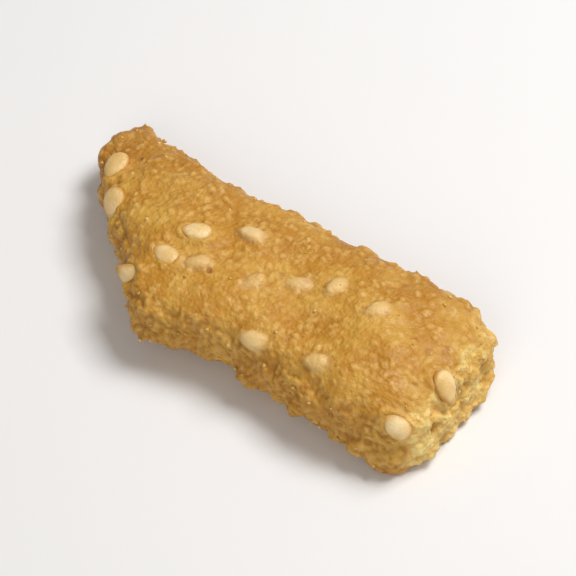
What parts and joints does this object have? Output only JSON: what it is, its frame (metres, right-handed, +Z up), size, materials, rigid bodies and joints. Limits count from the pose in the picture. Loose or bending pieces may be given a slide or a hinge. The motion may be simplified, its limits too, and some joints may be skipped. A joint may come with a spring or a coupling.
{
  "type": "sesame stick",
  "caption": "Short flat fried wheat snack stick with a pebbled golden crust, pressed-in sesame seeds, a slanting tapered end and a pale broken end.",
  "frame": {"origin": "under the middle of the stick's box, on the surface it lies on", "axes": "+X along the stick from the tapered end to the broken end, +Y across it to the straighter long edge, +Z up from its broad underside"},
  "size_m": [0.0372, 0.0166, 0.0072],
  "materials": {
    "fried_crust": "golden brown fried dough crust, pebbled, with a faint oil sheen",
    "broken_crumb": "pale yellow crumb of the broken end, dull and rough",
    "sesame_seed": "cream sesame seed, smooth with a soft sheen"
  },
  "bodies": {
    "root": {"sesame_stick": "fried_crust"}
  },
  "joints": []
}
